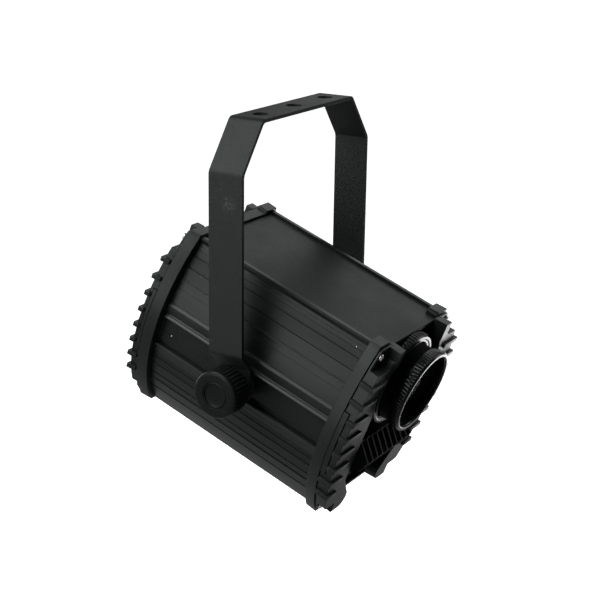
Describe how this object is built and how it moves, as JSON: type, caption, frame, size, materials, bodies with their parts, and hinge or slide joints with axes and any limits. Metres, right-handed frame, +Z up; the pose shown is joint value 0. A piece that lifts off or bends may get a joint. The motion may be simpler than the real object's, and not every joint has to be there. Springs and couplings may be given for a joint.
{
  "type": "stage light",
  "caption": "Black LED stage spot: a ribbed, curved housing tilts between the arms of a flat-bar yoke, with clamp knobs at its sides and a focusing lens at its nose.",
  "frame": {"origin": "centre of the middle hanging hole, on the yoke's upper face", "axes": "X across the light, the lens looks towards -Y and down, +Z up"},
  "size_m": [0.2258, 0.2564, 0.3159],
  "materials": {
    "yoke_powder": "matte",
    "cover_powder": "satin",
    "shell_black": "satin",
    "moulded_black": "satin",
    "knob_black": "satin",
    "lens_black": "gloss",
    "bright_steel": "polished",
    "insert_brass": "satin",
    "friction_fibre": "matte",
    "bare_aluminium": "satin",
    "bright_reflector": "polished",
    "circuit_board": "satin",
    "display_black": "gloss",
    "lens_glass": "polished"
  },
  "bodies": {
    "yoke": {"yoke_bracket": "yoke_powder"},
    "housing": {"top_cover": "cover_powder", "bottom_cover": "cover_powder", "front_plate": "cover_powder", "rear_plate": "cover_powder", "side_shell_left": "shell_black", "side_shell_right": "shell_black", "front_collar": "moulded_black", "rear_collar": "moulded_black", "front_guard_left": "moulded_black", "front_guard_right": "moulded_black", "rear_guard_left": "moulded_black", "rear_guard_right": "moulded_black", "vent_grille": "moulded_black", "condenser_holder": "moulded_black", "fan_frame": "moulded_black", "data_socket_in": "moulded_black", "data_socket_out": "moulded_black", "mains_inlet": "moulded_black", "lens_flange": "lens_black", "lens_tube": "lens_black", "safety_eye": "bright_steel", "front_screw_upper_left": "bright_steel", "front_screw_upper_right": "bright_steel", "front_screw_lower_left": "bright_steel", "front_screw_lower_right": "bright_steel", "rear_screw_upper_left": "bright_steel", "rear_screw_upper_right": "bright_steel", "rear_screw_lower_left": "bright_steel", "rear_screw_lower_right": "bright_steel", "pivot_insert_left": "insert_brass", "pivot_insert_right": "insert_brass", "friction_disc_left": "friction_fibre", "friction_disc_right": "friction_fibre", "heat_sink": "bare_aluminium", "chassis_shelf": "bare_aluminium", "power_supply": "bare_aluminium", "reflector": "bright_reflector", "led_board": "circuit_board", "control_board": "circuit_board", "display_window": "display_black", "condenser_lens": "lens_glass"},
    "focus_ring": {"focus_ring": "lens_black"},
    "lens_group": {"lens_carrier": "moulded_black", "projection_lens": "lens_glass", "lens_retaining_ring": "moulded_black"},
    "fan_rotor": {"fan_rotor": "moulded_black"},
    "socket_latch": {"socket_latch": "bright_steel"},
    "washer_left": {"knob_washer_left": "bright_steel"},
    "knob_left": {"tilt_knob_left": "knob_black", "knob_cap_left": "knob_black", "clamp_stud_left": "bright_steel"},
    "washer_right": {"knob_washer_right": "bright_steel"},
    "knob_right": {"tilt_knob_right": "knob_black", "knob_cap_right": "knob_black", "clamp_stud_right": "bright_steel"},
    "menu_button_1": {"menu_button_1": "moulded_black"},
    "menu_button_2": {"menu_button_2": "moulded_black"},
    "menu_button_3": {"menu_button_3": "moulded_black"},
    "menu_button_4": {"menu_button_4": "moulded_black"}
  },
  "joints": [
    {"name": "housing_tilt", "type": "hinge", "parent": "yoke", "child": "housing", "pos_m": [0, 0, -0.207], "axis": [1, 0, 0], "range_deg": [-111, 69]},
    {"name": "left_clamp_travel", "type": "slide", "parent": "housing", "child": "washer_left", "axis": [-1, 0, 0], "range_m": [0, 0.0025]},
    {"name": "left_clamp_turn", "type": "hinge", "parent": "washer_left", "child": "knob_left", "pos_m": [-0.1, 0, -0.207], "axis": [-1, 0, 0], "range_deg": [0, 720]},
    {"name": "right_clamp_travel", "type": "slide", "parent": "housing", "child": "washer_right", "axis": [1, 0, 0], "range_m": [0, 0.0025]},
    {"name": "right_clamp_turn", "type": "hinge", "parent": "washer_right", "child": "knob_right", "pos_m": [0.1, 0, -0.207], "axis": [1, 0, 0], "range_deg": [0, 720]},
    {"name": "focus_turn", "type": "hinge", "parent": "housing", "child": "focus_ring", "pos_m": [0, -0.11746, -0.21353], "axis": [0, -0.9336, -0.3584], "range_deg": [0, 180]},
    {"name": "lens_travel", "type": "slide", "parent": "housing", "child": "lens_group", "axis": [0, 0.9336, 0.3584], "range_m": [0, 0.01]},
    {"name": "fan_spin", "type": "hinge", "parent": "housing", "child": "fan_rotor", "pos_m": [0, 0.01324, -0.16336], "axis": [0, 0.9336, 0.3584], "continuous": true},
    {"name": "socket_latch_press", "type": "slide", "parent": "housing", "child": "socket_latch", "axis": [0, -0.9336, -0.3584], "range_m": [0, 0.0015], "stiffness_N_per_m": 800, "springref_m": -0.0005},
    {"name": "menu_button_1_press", "type": "slide", "parent": "housing", "child": "menu_button_1", "axis": [0, -0.9336, -0.3584], "range_m": [0, 0.001], "stiffness_N_per_m": 600, "springref_m": -0.0005},
    {"name": "menu_button_2_press", "type": "slide", "parent": "housing", "child": "menu_button_2", "axis": [0, -0.9336, -0.3584], "range_m": [0, 0.001], "stiffness_N_per_m": 600, "springref_m": -0.0005},
    {"name": "menu_button_3_press", "type": "slide", "parent": "housing", "child": "menu_button_3", "axis": [0, -0.9336, -0.3584], "range_m": [0, 0.001], "stiffness_N_per_m": 600, "springref_m": -0.0005},
    {"name": "menu_button_4_press", "type": "slide", "parent": "housing", "child": "menu_button_4", "axis": [0, -0.9336, -0.3584], "range_m": [0, 0.001], "stiffness_N_per_m": 600, "springref_m": -0.0005}
  ],
  "couplings": [
    {"joint": "left_clamp_travel", "follows": "left_clamp_turn", "m_per_rad": 0.00019894},
    {"joint": "right_clamp_travel", "follows": "right_clamp_turn", "m_per_rad": 0.00019894},
    {"joint": "lens_travel", "follows": "focus_turn", "m_per_rad": 0.003183}
  ]
}
